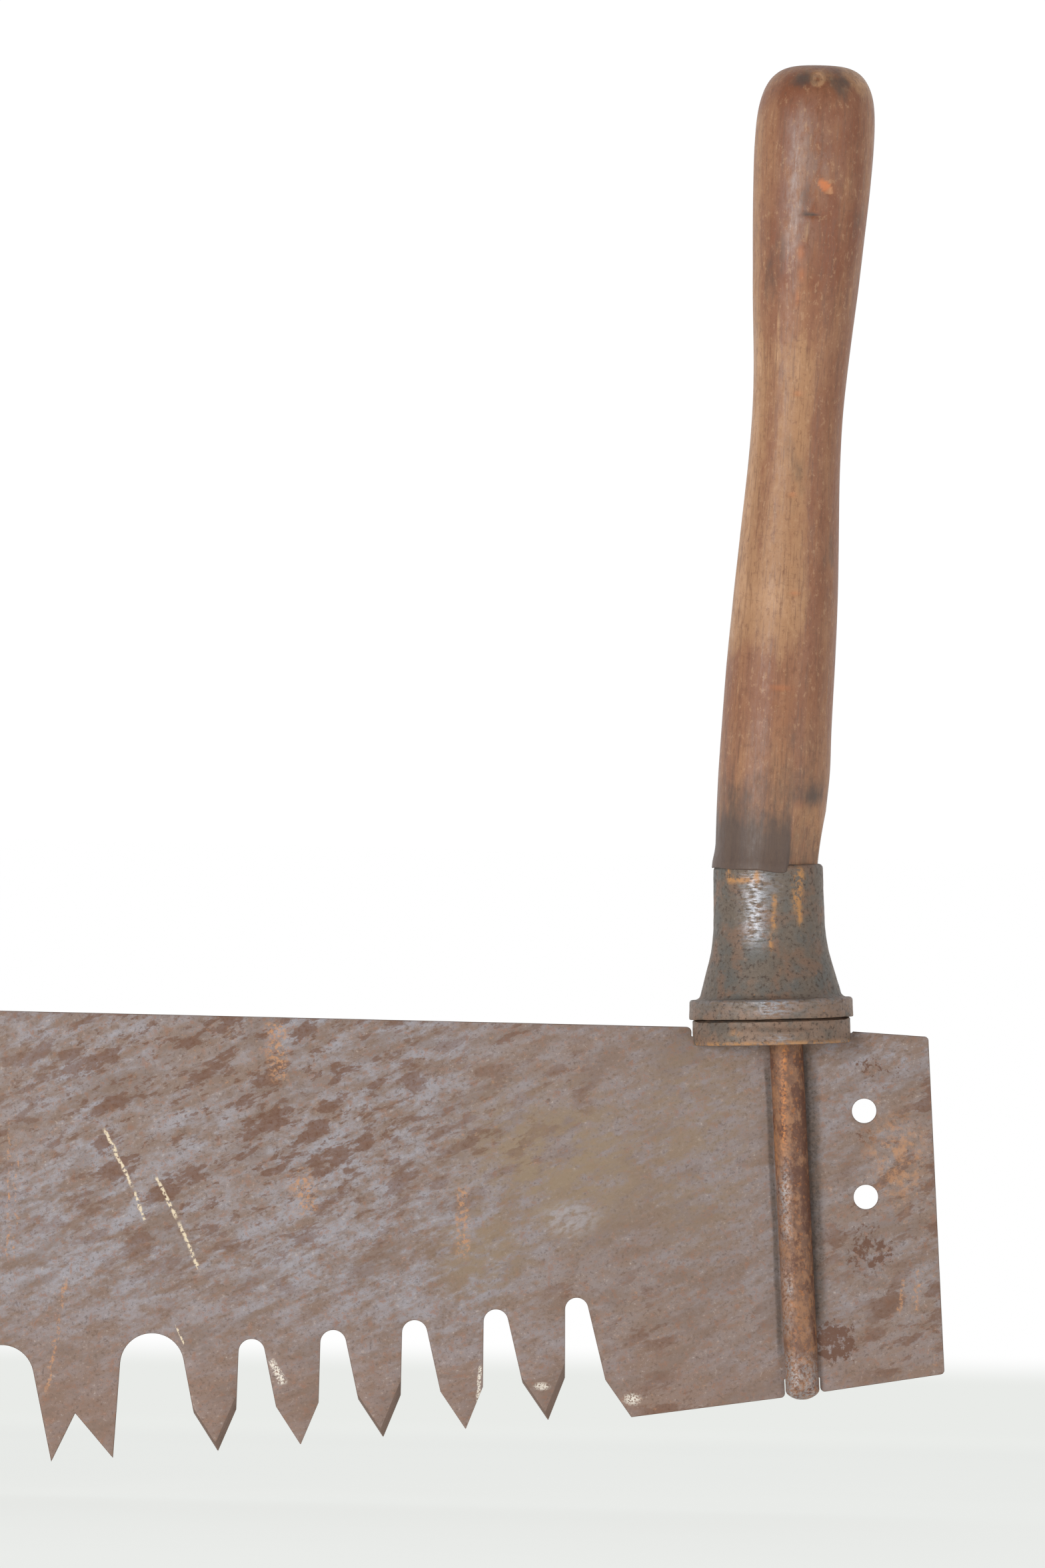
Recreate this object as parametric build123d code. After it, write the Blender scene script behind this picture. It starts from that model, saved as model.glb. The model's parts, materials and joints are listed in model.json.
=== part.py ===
"""Two-man crosscut saw: a crowned lance-tooth blade with an upright loop handle near each end.

Row frame, millimetres: +X runs along the blade, +Y through its thickness and +Z up from the
teeth to the back. The origin is on the tooth line's lowest point, midway between the ends.
Each handle clamps the blade with a slotted loop rod, which a nut inside the handle draws up.
"""
from build123d import *
import os
from math import cos, radians, sin, sqrt, tan

# Blade
BLADE_LENGTH = 1231.0           # at its lower corners; a nominal 4 ft along the back
BLADE_THICKNESS = 2.2
BACK_HEIGHT = 180.5             # straight back above the lowest tooth tip
TOOTH_ARC_RADIUS = 3475.0       # crown of the tooth line
STUB_DROP = 2.2                 # toothless ends lie this far outside the worn tips
END_LEAN = 4.1                  # degrees, the end edges splay outwards going down
END_CORNER_RADIUS = 1.6
BACK_DROOP = 1.6                # the back falls this much from the handle to its end corner

# Teeth: groups of cutters between rakers, spaced along the tooth arc
CUTTER_PITCH = 31.1
RAKER_GAP = 51.1                # centre of a raker to the next cutter's tip
INNER_GROUP = 4
END_GROUP = 5
INNER_GROUPS = 3
CUTTER_HALF_WIDTH = 8.0         # at the shoulders
POINT_HALF_ANGLE = 28.0
FLANK_HALF_ANGLE = 6.5
OUTER_BEVEL = 2.3               # width of the filed facet on the edge facing the blade's end
INNER_BEVEL = 0.8               # and on the edge facing mid blade
BEVEL_OVERRUN = 7.0             # a facet runs out this far past the point's shoulder
RAKER_HALF_WIDTH = 11.6         # between its two points, measured from the middle
RAKER_NOTCH_DEPTH = 17.6
RAKER_NOTCH_SHIFT = 1.5         # the notch is filed this far towards mid blade
RAKER_SHORT = 0.5               # rakers are filed this much below the cutters
RAKER_FLANK_HALF_ANGLE = 7.8
MIDDLE_GULLET_DEPTH = 37.0      # teeth are worn shortest at mid length
END_GULLET_DEPTH = 45.2
RAKER_GULLET_EXTRA = 5.9

# Pair of holes beyond each handle
HOLE_RADIUS = 4.6
HOLE_SPACING = 32.3
HOLES_FROM_ROD = 31.0           # outwards from where the rod crosses the back
HOLES_BELOW_BACK = 46.05        # middle of the pair
HOLES_LEAN = 2.5                # degrees, like the end edge

# Rod line: where a loop's legs cross the back, and how they lean
ROD_FROM_END = 62.75
ROD_LEAN = 4.1                  # degrees inwards going up

# Handle axis, through the ferrule; the seam is between ferrule and saddle
AXIS_LEAN = 2.6                 # degrees inwards going up
SEAM_FROM_ROD = -5.35
SEAM_ABOVE_BACK = 4.03
SEAM_GAP = 0.15

# Saddle, a slotted disc that straddles the back
SADDLE_RADIUS = 29.6
SADDLE_THICKNESS = 9.5
SADDLE_SEAT = 6.2               # blade seat below the seam
SADDLE_SLOT_WIDTH = 2.5
SADDLE_HOLE_LENGTH = 18.4
SADDLE_HOLE_WIDTH = 16.0
SADDLE_HOLE_SHIFT = 3.2
SADDLE_EDGE_RADIUS = 0.5
SEAT_END_GAP = 0.5
SEAT_CORNER_RADIUS = 2.0
SEAT_STEP = 0.4                 # the back starts to fall this far beyond the seat
SEAT_STEP_DROP = 0.25

# Ferrule, heights above the seam
FERRULE_HEIGHT = 57.5
FERRULE_RIM_RADIUS = 20.5
FERRULE_WAIST_RADIUS = 20.95
FERRULE_WAIST_HEIGHT = 29.0
FERRULE_FLARE_RADIUS = 26.8
FLANGE_RADIUS = 30.8
FLANGE_THICKNESS = 7.4
SOCKET_RADIUS = 17.5
WEB_BOTTOM = 14.0
WEB_TOP = 20.0
WEB_HOLE_RADIUS = 6.9
BASE_CAVITY_RADIUS = 13.0
FERRULE_ROUNDING = (0.5, 1.1, 2.2, 60.0, 1.8)   # at the flange, the flare, the waist and the rim

# Nut
NUT_SIDE = 22.0
NUT_HEIGHT = 11.0
NUT_CHAMFER = 1.0
THREAD_CLEARANCE = 0.07

# Pin that keeps the ferrule on the grip's tenon
PIN_RADIUS = 1.6
PIN_HEIGHT = 46.0               # above the seam
PIN_INNER_END = 10.0            # from the handle axis, on the +Y side
PIN_OUTER_END = 20.6

# Loop rod
ROD_RADIUS = 6.35               # half inch threaded shank
LEG_RADIUS = 6.3                # half-round legs
LEG_GAP = 2.6                   # slot between the legs
ROD_BOTTOM_DEPTH = 139.1        # along the legs, from the back to the loop's end
BRIDGE_THICKNESS = 8.0
BRIDGE_CROWN = 3.0              # the loop's end is rounded by this much
NECK_TOP = 12.0
NECK_BOTTOM = -6.0
SLOT_TOP = 4.6
THREAD_PITCH = 25.4 / 13
THREAD_DEPTH = 1.2
THREAD_FLANK = 0.9              # share of the pitch at which a ring groove ends
THREAD_START = 22.0
SHANK_TOP = 88.0
SHANK_CHAMFER = 2.0
NOTCH_CLEARANCE = 0.4
NOTCH_MOUTH_RADIUS = 1.7
TIGHT_GAP = 0.08                # loop to notch when clamped

# Wooden grip
GRIP_LEAN = 4.9                 # degrees outwards from the ferrule's axis
GRIP_SHOULDER_GAP = 0.1
GRIP_PROFILE = [(0, 20.1), (40, 20.9), (100, 19.8), (167, 17.1), (222, 20.3), (268, 22.5)]
GRIP_CROWN = [(286, 21.9), (292.3, 20.3), (297.2, 17.0)]
GRIP_LENGTH = 300.3
GRIP_FOOT = -8.0                # the turned shape starts below the rim, and is cut level with it
TENON_CLEARANCE = 0.1
TENON_FOOT_GAP = 1.0
BORE_RADIUS = 7.2
BORE_TOP = 100.0
NUT_POCKET_GAP = 0.15

half_length = BLADE_LENGTH / 2
rod_x = half_length - ROD_FROM_END
BIG = 40.0                      # side of the blocks that trim a shape
MARGIN = 1.0                    # cutting shapes reach this far past what they cut


# ---------------------------------------------------------------- frames
def handle_frame():
    """Origin at the seam's centre, z up the ferrule's axis, x outwards."""
    lean = radians(AXIS_LEAN)
    seam = (rod_x + SEAM_FROM_ROD, 0, BACK_HEIGHT + SEAM_ABOVE_BACK)
    return Plane(seam, x_dir=(cos(lean), 0, sin(lean)), z_dir=(-sin(lean), 0, cos(lean)))


def leg_frame():
    """Origin at the loop's lower end, z up the legs, x outwards."""
    lean = radians(ROD_LEAN)
    up = Vector(-sin(lean), 0, cos(lean))
    foot = Vector(rod_x, 0, BACK_HEIGHT) - up * ROD_BOTTOM_DEPTH
    return Plane(foot, x_dir=(cos(lean), 0, sin(lean)), z_dir=up)


def on_blade(frame, x, z):
    """A frame's own point in its XZ plane, as a blade outline point."""
    p = frame.from_local_coords(Vector(x, 0, z))
    return (p.X, p.Z)


def in_frame(shape, frame):
    return shape.moved(Location(frame))


# ---------------------------------------------------------------- blade outline
def arc_point(along, across=0.0, depth=0.0):
    """A point placed from the tooth arc: along it, then across and up into the blade."""
    angle = along / TOOTH_ARC_RADIUS
    reach = TOOTH_ARC_RADIUS - depth
    return (
        reach * sin(angle) + across * cos(angle),
        TOOTH_ARC_RADIUS - reach * cos(angle) + across * sin(angle),
    )


def gullet_depth(along, end_along, extra):
    wear = (END_GULLET_DEPTH - MIDDLE_GULLET_DEPTH) * (along / end_along) ** 2
    return MIDDLE_GULLET_DEPTH + wear + extra


def tooth(kind, along):
    """A tooth's points from left shoulder to right shoulder, and its flank angle."""
    if kind == "raker":
        notch = (-RAKER_NOTCH_SHIFT, RAKER_NOTCH_DEPTH)
        points = [(-RAKER_HALF_WIDTH, 0), notch, (RAKER_HALF_WIDTH, 0)]
        lift, flank = RAKER_SHORT, RAKER_FLANK_HALF_ANGLE
    else:
        shoulder = CUTTER_HALF_WIDTH / tan(radians(POINT_HALF_ANGLE))
        points = [(-CUTTER_HALF_WIDTH, shoulder), (0, 0), (CUTTER_HALF_WIDTH, shoulder)]
        lift, flank = (-STUB_DROP if kind == "stub" else 0.0), FLANK_HALF_ANGLE
    return [arc_point(along, a, b + lift) for a, b in points], flank


def flank_line(along, point, flank, side):
    """Start and direction of a flank going up from a shoulder, into the blade."""
    angle = along / TOOTH_ARC_RADIUS
    lean = radians(flank) * side
    return Vector(*point), Vector(-sin(angle + lean), cos(angle + lean))


def gullet(left, right, top):
    """Arc tangent to two flanks that meet high above it, through a top at a given point."""
    (p, d), (q, e) = left, right
    cross = d.X * e.Y - d.Y * e.X
    apex = p + d * (((q - p).X * e.Y - (q - p).Y * e.X) / cross)
    down = (d + e).normalized() * -1
    half = radians(d.get_angle(e)) / 2
    centre_reach = (top - apex).dot(down) / (1 - sin(half))
    run = centre_reach * cos(half)
    crest = apex + down * centre_reach * (1 - sin(half))
    return [tuple(v)[:2] for v in (apex - d * run, crest, apex - e * run)]


def tooth_row():
    """(kind, place along the arc) from the middle of the blade outwards."""
    places, along = [], CUTTER_PITCH * (INNER_GROUP - 1) / 2
    for place in range(INNER_GROUP // 2):
        places.append(("cutter", CUTTER_PITCH * (place + 0.5)))
    for group in range(INNER_GROUPS // 2 + 1):
        along += RAKER_GAP
        places.append(("raker", along))
        along += RAKER_GAP
        last = group == INNER_GROUPS // 2
        for place in range(END_GROUP if last else INNER_GROUP):
            places.append(("cutter", along + place * CUTTER_PITCH))
        along = places[-1][1]
    places.append(("stub", along + CUTTER_PITCH))
    return places


def lower_edge():
    """Pieces of the right half's tooth line, each a list of two points or of an arc's three."""
    row = tooth_row()
    end_along = row[-1][1]
    kind_before, along_before = row[0][0], -row[0][1]
    points_before, flank_before = tooth(kind_before, along_before)
    pieces = []
    for kind, along in row:
        points, flank = tooth(kind, along)
        middle = (along_before + along) / 2
        extra = RAKER_GULLET_EXTRA if "raker" in (kind, kind_before) else 0.0
        top = Vector(*arc_point(middle, 0, gullet_depth(middle, end_along, extra)))
        left = flank_line(along_before, points_before[-1], flank_before, -1)
        start, crest, finish = gullet(left, flank_line(along, points[0], flank, 1), top)
        if pieces:
            pieces.append([points_before[-1], start])
            pieces.append([start, crest, finish])
        else:
            three_quarters = ThreePointArc(start, crest, finish) @ 0.75
            pieces.append([crest, tuple(three_quarters)[:2], finish])
        pieces.append([finish, points[0]])
        pieces.append([points[0], points[1]])
        if kind != "stub":
            pieces.append([points[1], points[2]])
        kind_before, along_before, points_before, flank_before = kind, along, points, flank
    return pieces


def stub_height(x):
    outer = TOOTH_ARC_RADIUS + STUB_DROP
    return TOOTH_ARC_RADIUS - sqrt(outer**2 - x**2)


def end_outline(start):
    """Points from the stub's corner round the end and the saddle's seat to mid back."""
    legs, handle = leg_frame(), handle_frame()
    half_notch = LEG_RADIUS + NOTCH_CLEARANCE
    ceiling = BRIDGE_THICKNESS + TIGHT_GAP
    inner_top = on_blade(legs, -half_notch, ceiling)
    outer_top = on_blade(legs, half_notch, ceiling)
    lean = tan(radians(ROD_LEAN))
    inner_mouth_x = inner_top[0] + (inner_top[1] - stub_height(inner_top[0])) * lean
    outer_mouth_x = outer_top[0] + (outer_top[1] - stub_height(outer_top[0])) * lean
    bottom_z = stub_height(half_length)
    corner_z = BACK_HEIGHT - BACK_DROOP
    corner_x = half_length - (corner_z - bottom_z) * tan(radians(END_LEAN))
    seat = SADDLE_RADIUS + SEAT_END_GAP
    outer_seat = on_blade(handle, seat, -SADDLE_SEAT)
    inner_seat = on_blade(handle, -seat, -SADDLE_SEAT)
    return [
        start,
        (inner_mouth_x, stub_height(inner_mouth_x)),
        inner_top,
        outer_top,
        (outer_mouth_x, stub_height(outer_mouth_x)),
        (half_length, bottom_z),
        (corner_x, corner_z),
        (outer_seat[0] + SEAT_STEP, BACK_HEIGHT - SEAT_STEP_DROP),
        outer_seat,
        inner_seat,
        (inner_seat[0], BACK_HEIGHT),
        (0, BACK_HEIGHT),
    ]


def half_edges():
    pieces = lower_edge()
    points = end_outline(pieces[-1][-1])
    pieces += [[a, b] for a, b in zip(points, points[1:])]
    return pieces, points


def mirrored(piece):
    return [(-x, z) for x, z in reversed(piece)]


def edge_of(piece):
    return Line(*piece) if len(piece) == 2 else ThreePointArc(*piece)


def blade_face():
    right, points = half_edges()
    left = [mirrored(piece) for piece in reversed(right)]
    outline = make_face([edge_of(piece) for piece in right + left])
    rounded = [
        (points[1], NOTCH_MOUTH_RADIUS),
        (points[4], NOTCH_MOUTH_RADIUS),
        (points[5], END_CORNER_RADIUS),
        (points[6], END_CORNER_RADIUS),
        (points[10], SEAT_CORNER_RADIUS),
    ]
    for (x, z), radius in rounded:
        spots = [Vector(side * x, z) for side in (1, -1)]
        corners = [v for v in outline.vertices() if min((v.center() - s).length for s in spots) < 1e-3]
        outline = fillet(corners, radius)
    for side in (1, -1):
        for hole in hole_centres():
            outline -= Pos(side * hole[0], hole[1]) * Circle(HOLE_RADIUS)
    return outline


def hole_centres():
    lean = radians(HOLES_LEAN)
    middle = (rod_x + HOLES_FROM_ROD, BACK_HEIGHT - HOLES_BELOW_BACK)
    reach = HOLE_SPACING / 2
    return [(middle[0] + k * reach * sin(lean), middle[1] - k * reach * cos(lean)) for k in (-1, 1)]


def point_bevel(along, tip_side, face_side, width):
    """Wedge that files one edge of a cutter's point at a slant, on one face of the blade."""
    points, _ = tooth("cutter", along)
    tip, shoulder = points[1], points[1 + tip_side]
    run = Vector(shoulder[0] - tip[0], 0, shoulder[1] - tip[1])
    direction = run.normalized()
    inward = Vector(-direction.Z, 0, direction.X) * tip_side
    through = Vector(0, face_side * BLADE_THICKNESS, 0)
    edge = Vector(tip[0], 0, tip[1]) - direction * BEVEL_OVERRUN - through / 2
    filed = through + inward * width
    waste = inward * -BEVEL_OVERRUN
    section = Polyline(edge, edge + filed * 2, edge + through * 2 + waste, edge + waste, close=True)
    return extrude(make_face(section), run.length + 2 * BEVEL_OVERRUN, dir=direction)


def make_blade():
    plate = extrude(Plane.XZ * blade_face(), BLADE_THICKNESS / 2, both=True)
    wedges, face_side = [], -1
    for kind, along in tooth_row():
        if kind != "cutter":
            continue
        for half in (1, -1):
            for tip_side, width in ((half, OUTER_BEVEL), (-half, INNER_BEVEL)):
                wedges.append(point_bevel(half * along, tip_side, face_side * half, width))
        face_side = -face_side
    return plate - wedges


# ---------------------------------------------------------------- handle parts, in the handle frame
def make_saddle():
    top = -SEAM_GAP
    bottom = top - SADDLE_THICKNESS
    disc = Pos(0, 0, (top + bottom) / 2) * Cylinder(SADDLE_RADIUS, SADDLE_THICKNESS)
    rims = disc.edges().filter_by(GeomType.CIRCLE)
    disc = fillet(rims, SADDLE_EDGE_RADIUS)
    slot_height = -SADDLE_SEAT - bottom + MARGIN
    slot = Pos(0, 0, -SADDLE_SEAT - slot_height / 2) * Box(
        2 * (SADDLE_RADIUS + MARGIN), SADDLE_SLOT_WIDTH, slot_height
    )
    passage = extrude(
        Pos(SADDLE_HOLE_SHIFT, 0, bottom - MARGIN)
        * SlotOverall(SADDLE_HOLE_LENGTH, SADDLE_HOLE_WIDTH),
        SADDLE_THICKNESS + 2 * MARGIN,
    )
    return disc - slot - passage


def make_ferrule():
    outline = [
        (BASE_CAVITY_RADIUS, 0),
        (FLANGE_RADIUS, 0),
        (FLANGE_RADIUS - 0.2, FLANGE_THICKNESS),
        (FERRULE_FLARE_RADIUS, FLANGE_THICKNESS),
        (FERRULE_WAIST_RADIUS, FERRULE_WAIST_HEIGHT),
        (FERRULE_RIM_RADIUS, FERRULE_HEIGHT),
        (SOCKET_RADIUS, FERRULE_HEIGHT),
        (SOCKET_RADIUS, WEB_TOP),
        (WEB_HOLE_RADIUS, WEB_TOP),
        (WEB_HOLE_RADIUS, WEB_BOTTOM),
        (BASE_CAVITY_RADIUS, WEB_BOTTOM),
    ]
    face = make_face(Polyline(*outline, close=True))
    for point, radius in zip(outline[1:], FERRULE_ROUNDING):
        corner = face.vertices().sort_by_distance(Vector(*point))[0]
        face = fillet(corner, radius)
    return revolve(Plane.XZ * face, Axis.Z) - make_pin()


def make_pin():
    length = PIN_OUTER_END - PIN_INNER_END
    middle = PIN_INNER_END + length / 2
    return Pos(0, middle, PIN_HEIGHT) * Rot(90, 0, 0) * Cylinder(PIN_RADIUS, length)


def make_nut():
    block = Pos(0, 0, WEB_TOP + NUT_HEIGHT / 2) * Box(NUT_SIDE, NUT_SIDE, NUT_HEIGHT)
    block = chamfer(block.edges().filter_by(Axis.Z), NUT_CHAMFER)
    bore = Pos(0, 0, WEB_TOP + NUT_HEIGHT / 2) * Cylinder(
        ROD_RADIUS + THREAD_CLEARANCE, NUT_HEIGHT + 2 * MARGIN
    )
    return block - bore


def shank():
    """Round shank with ring grooves in place of the screw thread."""
    points = [(0, NECK_TOP), (ROD_RADIUS, NECK_TOP), (ROD_RADIUS, THREAD_START)]
    turns = int((SHANK_TOP - THREAD_START) / THREAD_PITCH) - 1
    for turn in range(turns):
        z = THREAD_START + turn * THREAD_PITCH
        points.append((ROD_RADIUS - THREAD_DEPTH, z + THREAD_PITCH / 2))
        points.append((ROD_RADIUS, z + THREAD_FLANK * THREAD_PITCH))
        points.append((ROD_RADIUS, z + THREAD_PITCH))
    points.append((ROD_RADIUS, SHANK_TOP - SHANK_CHAMFER))
    points += [(ROD_RADIUS - SHANK_CHAMFER, SHANK_TOP), (0, SHANK_TOP)]
    return revolve(Plane.XZ * make_face(Polyline(*points, close=True)), Axis.Z)


def leg_section():
    return SlotCenterToCenter(LEG_GAP, 2 * LEG_RADIUS, rotation=90)


def make_loop():
    """Loop rod: two half-round legs joined by a bridge below, a cranked neck and a shank."""
    handle, legs = handle_frame(), leg_frame()
    neck_foot = handle.from_local_coords(Vector(0, 0, NECK_BOTTOM))
    leg_length = legs.to_local_coords(neck_foot).Z
    half_depth = LEG_RADIUS + LEG_GAP / 2
    legs_solid = extrude(leg_section(), leg_length)
    front = make_face([
        ThreePointArc((-LEG_RADIUS, BRIDGE_CROWN), (0, 0), (LEG_RADIUS, BRIDGE_CROWN)),
        Polyline((LEG_RADIUS, BRIDGE_CROWN), (LEG_RADIUS, leg_length),
                 (-LEG_RADIUS, leg_length), (-LEG_RADIUS, BRIDGE_CROWN)),
    ])
    side = make_face([
        ThreePointArc((-half_depth, half_depth), (0, 0), (half_depth, half_depth)),
        Polyline((half_depth, half_depth), (half_depth, leg_length),
                 (-half_depth, leg_length), (-half_depth, half_depth)),
    ])
    legs_solid &= extrude(Plane.XZ * front, half_depth + MARGIN, both=True)
    legs_solid &= extrude(Plane.YZ * side, LEG_RADIUS + MARGIN, both=True)
    top_section = in_frame(Pos(0, 0, leg_length) * leg_section(), legs)
    shank_section = in_frame(Pos(0, 0, NECK_TOP) * Circle(ROD_RADIUS), handle)
    neck = loft([top_section.face(), shank_section.face()])
    rod = in_frame(legs_solid, legs) + neck + in_frame(shank(), handle)
    slot_top = legs.to_local_coords(handle.from_local_coords(Vector(0, 0, SLOT_TOP))).Z
    slot_length = slot_top - BRIDGE_THICKNESS
    slot = Pos(0, 0, BRIDGE_THICKNESS + slot_length / 2) * Box(BIG, LEG_GAP, slot_length)
    return rod - in_frame(slot, legs)


def make_grip():
    """Crooked wooden grip: a turned handle that leans away from the tenon in the ferrule."""
    foot_radius = GRIP_PROFILE[0][1]
    outline = [(r, z) for z, r in GRIP_PROFILE + GRIP_CROWN + [(GRIP_LENGTH, 0)]]
    side = Spline(*outline, tangents=[(0, 1), (-1, 0)])
    base = Polyline((0, GRIP_LENGTH), (0, GRIP_FOOT), (foot_radius, GRIP_FOOT), (foot_radius, 0))
    turned = revolve(Plane.XZ * make_face([side, base]), Axis.Z)
    turned = Pos(0, 0, FERRULE_HEIGHT) * Rot(0, GRIP_LEAN, 0) * turned
    shoulder = FERRULE_HEIGHT + GRIP_SHOULDER_GAP
    turned -= Pos(0, 0, shoulder - BIG) * Box(4 * BIG, 4 * BIG, 2 * BIG)
    tenon_foot = WEB_TOP + TENON_FOOT_GAP
    tenon_height = shoulder - tenon_foot
    tenon = Pos(0, 0, tenon_foot + tenon_height / 2) * Cylinder(
        SOCKET_RADIUS - TENON_CLEARANCE, tenon_height
    )
    pocket_side = NUT_SIDE + 2 * NUT_POCKET_GAP
    pocket_top = WEB_TOP + NUT_HEIGHT + NUT_POCKET_GAP
    pocket = Pos(0, 0, pocket_top - BIG / 2) * Box(pocket_side, pocket_side, BIG)
    bore = Pos(0, 0, BORE_TOP / 2) * Cylinder(BORE_RADIUS, BORE_TOP)
    return turned + tenon - pocket - bore - make_pin()


# ---------------------------------------------------------------- write the nodes
def main():
    os.makedirs("parts", exist_ok=True)
    export_step(make_blade(), "parts/blade.step")
    handle = handle_frame()
    pieces = {
        "saddle": in_frame(make_saddle(), handle),
        "ferrule": in_frame(make_ferrule(), handle),
        "nut": in_frame(make_nut(), handle),
        "ferrule_pin": in_frame(make_pin(), handle),
        "grip": in_frame(make_grip(), handle),
        "loop_rod": make_loop(),
    }
    for name, shape in pieces.items():
        export_step(shape, f"parts/right_{name}.step")
        export_step(mirror(shape, about=Plane.YZ), f"parts/left_{name}.step")


main()
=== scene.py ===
"""Looks of the two-man crosscut saw: worn meshes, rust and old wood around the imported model, in metres."""
import json
from functools import reduce
from math import atan2, cos, degrees, exp, hypot, pi, radians, sin, tan

import bmesh
import bpy
from mathutils import Matrix, Vector, noise


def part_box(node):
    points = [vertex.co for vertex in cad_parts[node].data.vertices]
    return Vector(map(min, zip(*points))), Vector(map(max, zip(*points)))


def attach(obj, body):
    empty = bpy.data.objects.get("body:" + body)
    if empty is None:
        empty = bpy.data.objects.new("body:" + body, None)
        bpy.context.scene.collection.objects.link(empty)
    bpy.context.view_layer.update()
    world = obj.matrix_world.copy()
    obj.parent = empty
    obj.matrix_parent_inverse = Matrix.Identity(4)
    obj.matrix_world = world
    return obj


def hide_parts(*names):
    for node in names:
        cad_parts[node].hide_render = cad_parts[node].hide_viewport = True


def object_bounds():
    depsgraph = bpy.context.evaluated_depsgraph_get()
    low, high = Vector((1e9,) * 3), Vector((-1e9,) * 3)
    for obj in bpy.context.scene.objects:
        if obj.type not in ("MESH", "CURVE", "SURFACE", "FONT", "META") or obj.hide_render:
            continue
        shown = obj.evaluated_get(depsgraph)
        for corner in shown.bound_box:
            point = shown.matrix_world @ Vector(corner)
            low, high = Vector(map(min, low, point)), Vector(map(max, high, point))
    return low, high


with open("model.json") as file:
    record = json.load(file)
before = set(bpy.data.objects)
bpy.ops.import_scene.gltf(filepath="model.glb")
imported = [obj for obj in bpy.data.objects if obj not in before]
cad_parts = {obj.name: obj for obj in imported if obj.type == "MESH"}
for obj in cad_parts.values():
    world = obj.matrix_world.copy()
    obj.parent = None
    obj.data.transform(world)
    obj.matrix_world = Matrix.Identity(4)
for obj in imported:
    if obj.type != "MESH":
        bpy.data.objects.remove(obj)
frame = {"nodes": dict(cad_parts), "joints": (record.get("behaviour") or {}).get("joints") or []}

cad_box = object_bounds()

MM = 0.001
SIDES = ("right", "left")
joints = {joint["name"]: joint for joint in frame["joints"]}

# Sizes that the frame does not give, in millimetres
FERRULE_HEIGHT = 57.5
GRIP_LEAN = 4.9                 # degrees, outwards from the screw's axis
ROD_INSET = 62.75               # the loop crosses the back this far from the blade's lower corner
ROD_SLOPE = 0.0717              # the loop's lean on the blade, sideways for each millimetre down
TOOTH_ARC_RADIUS = 3475.0
CUTTER_PITCH = 31.1
RAKER_GAP = 51.1
END_CUTTERS = 5
TOOTH_SET = 0.35                # sideways bend of a cutter's tip
SET_REACH = 24.0                # the bend starts this far above the tip
EDGE_WEAR = 0.22                # width of the rubbed strip along the blade's sharp edges
GRID = 8.0                      # the plate's faces are cut this fine, so that it can bend


# -------- places
def handle_matrix(side):
    """Handle frame: origin on the seam under the ferrule, z up the screw, x outwards, -y to the front."""
    joint = joints[f"{side}_handle_turn"]
    up = Vector(joint["axis"]).normalized()
    across = Vector((0, 1 if side == "right" else -1, 0))
    matrix = Matrix((across.cross(up), across, up)).transposed().to_4x4()
    matrix.translation = Vector(joint["pos_m"])
    return matrix


def grip_matrix(side):
    lean = Matrix.Rotation(radians(GRIP_LEAN), 4, "Y")
    return handle_matrix(side) @ Matrix.Translation((0, 0, FERRULE_HEIGHT * MM)) @ lean


blade_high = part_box("blade")[1]
BACK = blade_high[2] / MM
ROD_X = blade_high[0] / MM - ROD_INSET


# -------- small maths
def smooth(low, high, value):
    """0 below low, 1 above high, with a soft step between; low may be the larger."""
    t = min(1.0, max(0.0, (value - low) / (high - low)))
    return t * t * (3 - 2 * t)


def hump(value, centre, width):
    return exp(-(((value - centre) / width) ** 2))


def ripple(x, y, z, size, octaves=3, seed=0.0):
    """Fractal noise between about -1 and 1, with lumps of the given size."""
    place = Vector((x / size + seed, y / size - seed, z / size + 2.3 * seed))
    return noise.fractal(place, 1.0, 2.0, octaves)


def curve_through(points, value):
    """Smooth interpolation of y at x through a list of (x, y)."""
    last = len(points) - 1
    index = max(0, min(last - 1, sum(x <= value for x, _ in points) - 1))
    x0, y0 = points[index]
    x1, y1 = points[index + 1]
    before, after = points[max(index - 1, 0)], points[min(index + 2, last)]
    slope0 = (y1 - before[1]) / (x1 - before[0])
    slope1 = (after[1] - y0) / (after[0] - x0)
    span = x1 - x0
    t = (value - x0) / span
    return (
        (2 * t**3 - 3 * t**2 + 1) * y0
        + (t**3 - 2 * t**2 + t) * span * slope0
        + (3 * t**2 - 2 * t**3) * y1
        + (t**3 - t**2) * span * slope1
    )


# -------- mesh helpers
def new_piece(name, mesh, body, replaced, material):
    piece = bpy.data.objects.new(name, mesh)
    bpy.context.scene.collection.objects.link(piece)
    mesh.materials.clear()
    mesh.materials.append(material)
    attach(piece, body)
    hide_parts(replaced)
    return piece


def skin(name, rings, wrap=False):
    """A closed mesh over rings of points; a ring of one point closes an end, wrap joins last to first."""
    verts, faces, starts = [], [], []
    for ring in rings:
        starts.append(len(verts))
        verts.extend(ring)
    pairs = list(zip(range(len(rings)), range(1, len(rings))))
    if wrap:
        pairs.append((len(rings) - 1, 0))
    for a, b in pairs:
        count = max(len(rings[a]), len(rings[b]))
        for i in range(count):
            j = (i + 1) % count
            if len(rings[a]) == 1:
                faces.append((starts[a], starts[b] + j, starts[b] + i))
            elif len(rings[b]) == 1:
                faces.append((starts[a] + i, starts[a] + j, starts[b]))
            else:
                faces.append((starts[a] + i, starts[a] + j, starts[b] + j, starts[b] + i))
    mesh = bpy.data.meshes.new(name)
    mesh.from_pydata(verts, [], faces)
    outward(mesh)
    return mesh


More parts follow.
